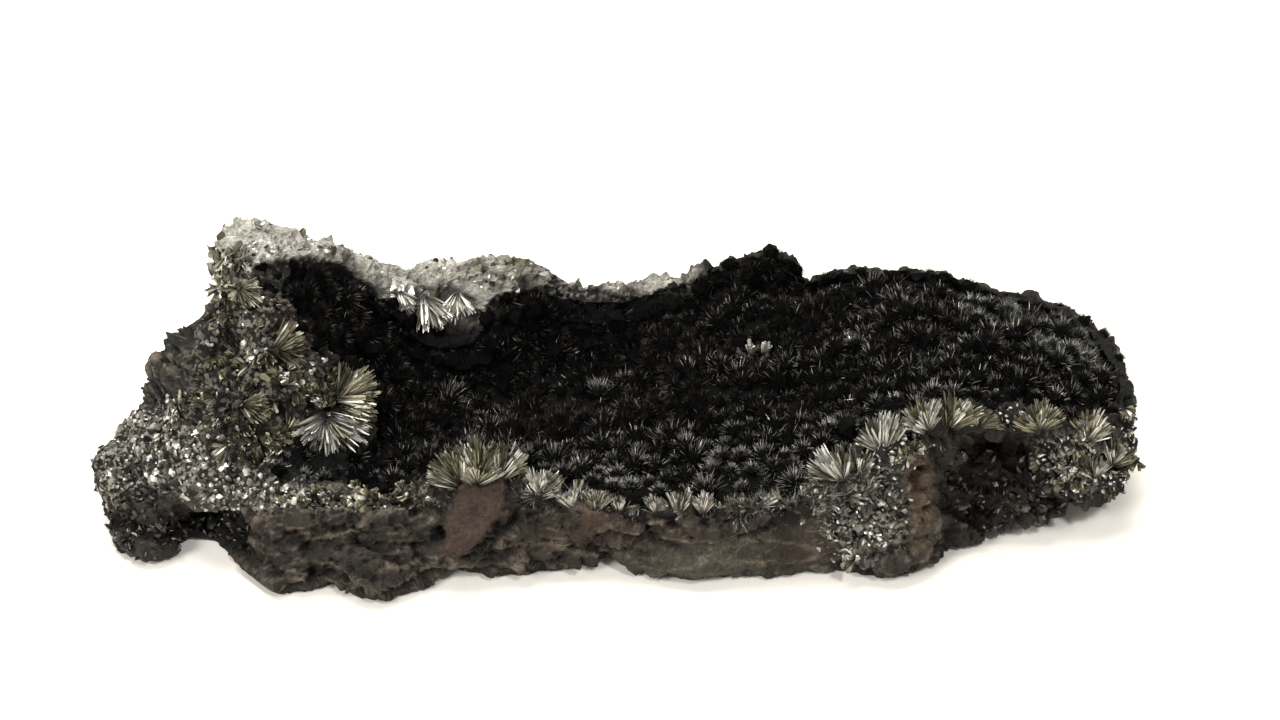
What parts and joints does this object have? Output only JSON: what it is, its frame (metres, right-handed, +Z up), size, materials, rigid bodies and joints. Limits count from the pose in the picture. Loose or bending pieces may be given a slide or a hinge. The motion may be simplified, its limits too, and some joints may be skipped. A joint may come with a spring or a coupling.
{
  "type": "mineral specimen",
  "caption": "Pyrolusite hand specimen: a long slab of brown-black manganese ore with a velvety black crust in its hollow top and fans of silvery bladed crystals, for display",
  "frame": {"origin": "on the surface that the specimen rests on, below the middle of its box", "axes": "+X along the specimen's length towards its blunt low end, away from the tall wall; +Y from its broken front with the bladed fans to its back rim; +Z up, as it rests on its worn underside"},
  "size_m": [0.1366, 0.0532, 0.0343],
  "materials": {
    "ore": "rough broken manganese ore, dark brown-grey, earthy to dull metallic",
    "velvet": "deep black velvet of fine needles in rounded tufts, with small bright glints",
    "blades": "bladed crystals with flat metallic faces, steel grey with a yellow-green cast"
  },
  "bodies": {
    "root": {"matrix": "ore", "velvet_crust": "velvet", "rosette_spray": "blades", "wall_spray": "blades", "wall_low_spray": "blades", "wall_high_spray": "blades", "rim_spray": "blades", "front_left_spray": "blades", "front_middle_spray": "blades", "ledge_left_spray": "blades", "ledge_right_spray": "blades", "buttress_low_spray": "blades", "buttress_middle_spray": "blades", "buttress_high_spray": "blades", "right_spray": "blades", "right_end_spray": "blades"}
  },
  "joints": []
}
